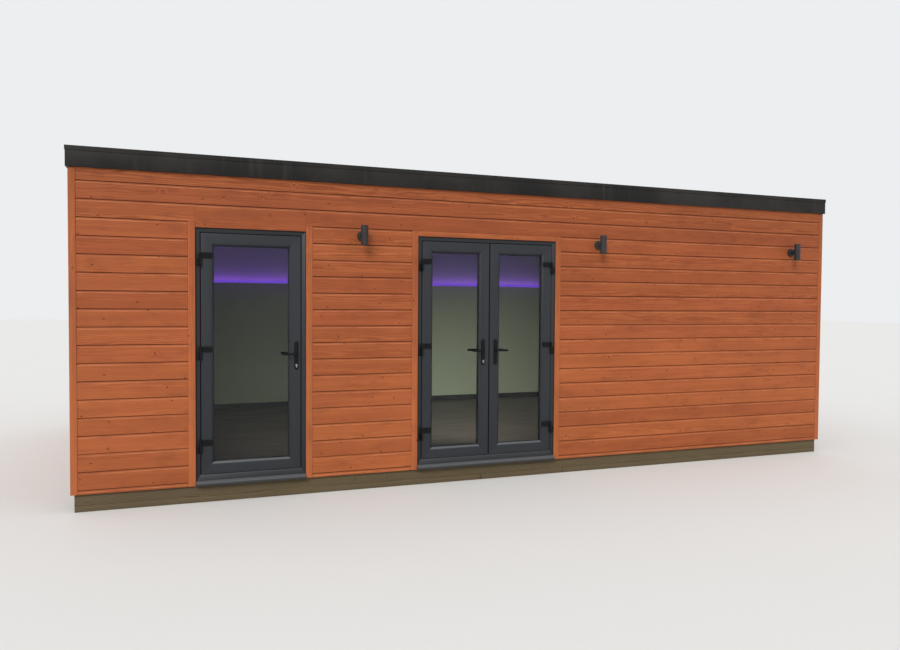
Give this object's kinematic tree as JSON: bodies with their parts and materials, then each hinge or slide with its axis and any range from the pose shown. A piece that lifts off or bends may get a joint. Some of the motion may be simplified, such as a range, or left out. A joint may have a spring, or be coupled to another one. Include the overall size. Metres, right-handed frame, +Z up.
{
  "type": "garden office pod",
  "caption": "Flat-roofed timber garden office clad in stained shiplap, with a glazed single door, French doors, up and down wall lamps and a black roof edge.",
  "frame": {"origin": "on the ground under the middle bearer, at the centre of the building's plan", "axes": "+X to the right along the front, +Y from the front wall to the rear, +Z up; the front with the doors faces -Y"},
  "size_m": [7.244, 4.4948, 2.7055],
  "materials": {
    "treated_timber": "rough sawn, pressure treated",
    "softwood": "sawn",
    "floor": "dark satin floor boards",
    "wall_lining": "matt painted plasterboard",
    "lining": "matt painted plasterboard",
    "cladding_timber": "stained shiplap boards, satin",
    "trim_timber": "stained planed timber, satin",
    "roof_rubber": "matt rubber membrane",
    "roof_trim": "satin black",
    "door_profile": "anthracite grey, finely grained",
    "glass": "clear sealed unit",
    "hardware": "satin black",
    "lamp_metal": "matt dark grey",
    "rainwater": "black, slightly glossy"
  },
  "bodies": {
    "building": {"base_bearers": "treated_timber", "floor_joists": "treated_timber", "floor_deck": "floor", "front_wall_left": "wall_lining", "front_wall_middle": "wall_lining", "front_wall_right": "wall_lining", "front_wall_header": "wall_lining", "rear_wall": "wall_lining", "left_wall": "wall_lining", "right_wall": "wall_lining", "ceiling": "lining", "roof_joists": "softwood", "roof_deck": "softwood", "roof_membrane": "roof_rubber", "front_fascia": "roof_trim", "side_fascias": "roof_trim", "rear_fascia": "roof_trim", "front_cladding_head": "cladding_timber", "front_cladding_left": "cladding_timber", "front_cladding_middle": "cladding_timber", "front_cladding_right": "cladding_timber", "left_cladding": "cladding_timber", "right_cladding": "cladding_timber", "rear_cladding": "cladding_timber", "corner_trims": "trim_timber", "door_trims": "trim_timber", "single_door_frame": "door_profile", "double_door_frame": "door_profile", "door_sills": "door_profile", "hinge_bases": "hardware", "wall_lamps": "lamp_metal", "gutter": "rainwater", "downpipe": "rainwater"},
    "single_leaf": {"single_door_leaf": "door_profile", "single_door_glass": "glass", "single_door_fittings": "hardware"},
    "single_handle": {"single_door_lever": "hardware"},
    "left_leaf": {"left_door_leaf": "door_profile", "left_door_glass": "glass", "left_door_fittings": "hardware"},
    "left_handle": {"left_door_lever": "hardware"},
    "right_leaf": {"right_door_leaf": "door_profile", "right_door_glass": "glass", "right_door_fittings": "hardware"},
    "right_handle": {"right_door_lever": "hardware"}
  },
  "joints": [
    {"name": "single_door_hinge", "type": "hinge", "parent": "building", "child": "single_leaf", "pos_m": [-2.6895, -2.11, 1.171], "axis": [0, 0, -1], "range_deg": [0, 90]},
    {"name": "left_door_hinge", "type": "hinge", "parent": "building", "child": "left_leaf", "pos_m": [-0.8835, -2.11, 1.171], "axis": [0, 0, -1], "range_deg": [0, 90]},
    {"name": "right_door_hinge", "type": "hinge", "parent": "building", "child": "right_leaf", "pos_m": [0.3625, -2.11, 1.171], "axis": [0, 0, 1], "range_deg": [0, 90]},
    {"name": "single_lever_turn", "type": "hinge", "parent": "single_leaf", "child": "single_handle", "pos_m": [-1.954, -2.096, 1.157], "axis": [0, -1, 0], "range_deg": [0, 35], "stiffness_Nm_per_rad": 2, "springref_deg": -17.19},
    {"name": "left_lever_turn", "type": "hinge", "parent": "left_leaf", "child": "left_handle", "pos_m": [-0.3125, -2.096, 1.157], "axis": [0, -1, 0], "range_deg": [0, 35], "stiffness_Nm_per_rad": 2, "springref_deg": -17.19},
    {"name": "right_lever_turn", "type": "hinge", "parent": "right_leaf", "child": "right_handle", "pos_m": [-0.1925, -2.096, 1.157], "axis": [0, 1, 0], "range_deg": [0, 35], "stiffness_Nm_per_rad": 2, "springref_deg": -17.19}
  ]
}
